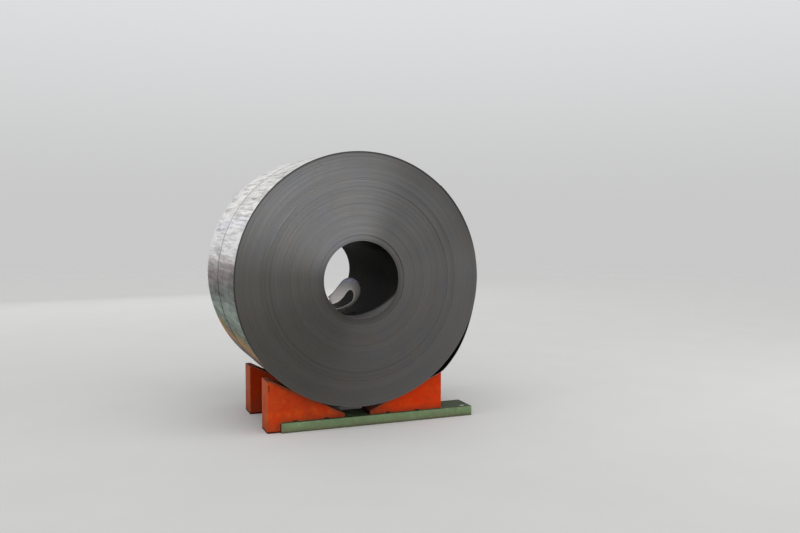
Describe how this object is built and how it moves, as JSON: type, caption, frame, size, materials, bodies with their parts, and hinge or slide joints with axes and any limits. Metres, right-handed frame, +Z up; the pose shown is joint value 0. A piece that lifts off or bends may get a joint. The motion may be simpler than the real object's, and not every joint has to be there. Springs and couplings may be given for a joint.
{
  "type": "steel coil",
  "caption": "Wound steel strip coil with an open eye and a round strap, lying axis level on wedge chocks that stand on channel bearers.",
  "frame": {"origin": "on the floor, midway between the coil's ends and straight below its axis", "axes": "+Y along the coil's axis towards its rear end, +X to the right as seen from the front end, +Z up"},
  "size_m": [2.0024, 1.258, 2.1769],
  "materials": {
    "strip_steel": "bright bare strip on the outside, matt grey sheared edges on the ends",
    "strap_steel": "blued strapping steel",
    "seal_steel": "crimped galvanised sheet",
    "chock_paint": "orange-red gloss paint, scuffed",
    "bearer_paint": "pale green paint, dirty on top"
  },
  "bodies": {
    "root": {"coil": "strip_steel", "strap": "strap_steel", "strap_seal": "seal_steel", "chock_front_left": "chock_paint", "chock_front_right": "chock_paint", "chock_rear_left": "chock_paint", "chock_rear_right": "chock_paint", "bearer_front": "bearer_paint", "bearer_rear": "bearer_paint"}
  },
  "joints": []
}
